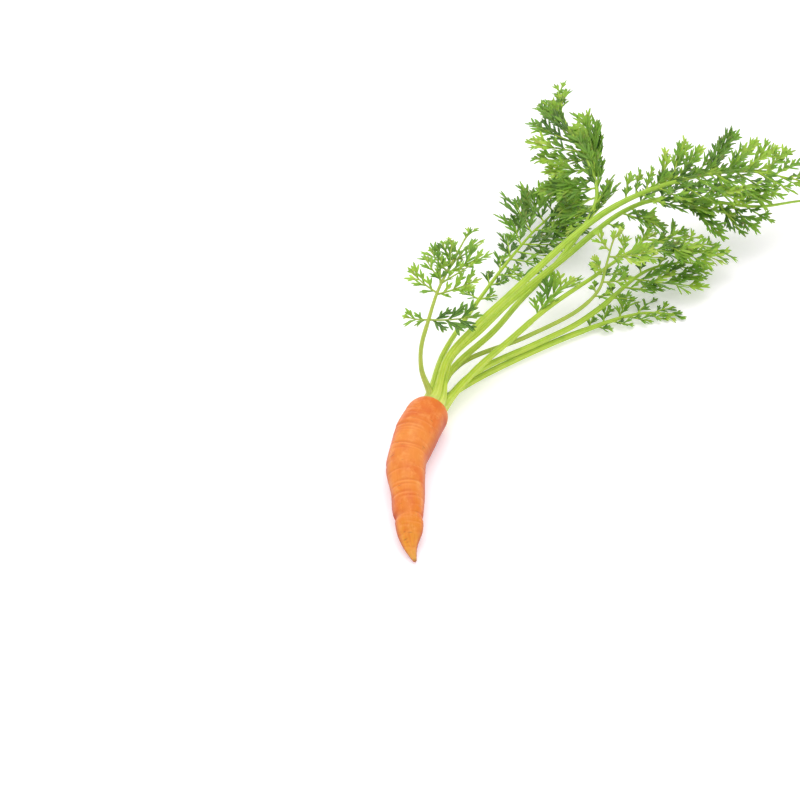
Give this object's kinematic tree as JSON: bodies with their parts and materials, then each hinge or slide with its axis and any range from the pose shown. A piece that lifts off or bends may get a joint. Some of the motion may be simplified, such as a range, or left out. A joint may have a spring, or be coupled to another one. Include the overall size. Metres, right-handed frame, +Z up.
{
  "type": "carrot with leaves",
  "caption": "Young carrot as picked: a short ringed orange taproot lying on its side, with long green stalks and feathery fronds fanning out from its crown.",
  "frame": {"origin": "middle of the flat spot that the root lies on, on the surface under it", "axes": "+Z up, the root's tip towards -Y, the crown and the leaves towards +Y and +X"},
  "size_m": [0.2822, 0.3157, 0.0597],
  "materials": {
    "root_skin": "moist satin skin",
    "leaf_stalk": "satin",
    "leaf_frond": "matte"
  },
  "bodies": {
    "root": {"taproot": "root_skin", "leaf_stalk_1": "leaf_stalk", "leaf_stalk_2": "leaf_stalk", "leaf_stalk_3": "leaf_stalk", "leaf_stalk_4": "leaf_stalk", "leaf_stalk_5": "leaf_stalk", "leaf_stalk_6": "leaf_stalk", "leaf_stalk_7": "leaf_stalk", "leaf_stalk_8": "leaf_stalk", "leaf_stalk_9": "leaf_stalk", "leaf_frond_1": "leaf_frond", "leaf_frond_2": "leaf_frond", "leaf_frond_3": "leaf_frond", "leaf_frond_4": "leaf_frond", "leaf_frond_5": "leaf_frond", "leaf_frond_6": "leaf_frond", "leaf_frond_7": "leaf_frond", "leaf_frond_8": "leaf_frond", "leaf_frond_9": "leaf_frond"}
  },
  "joints": []
}
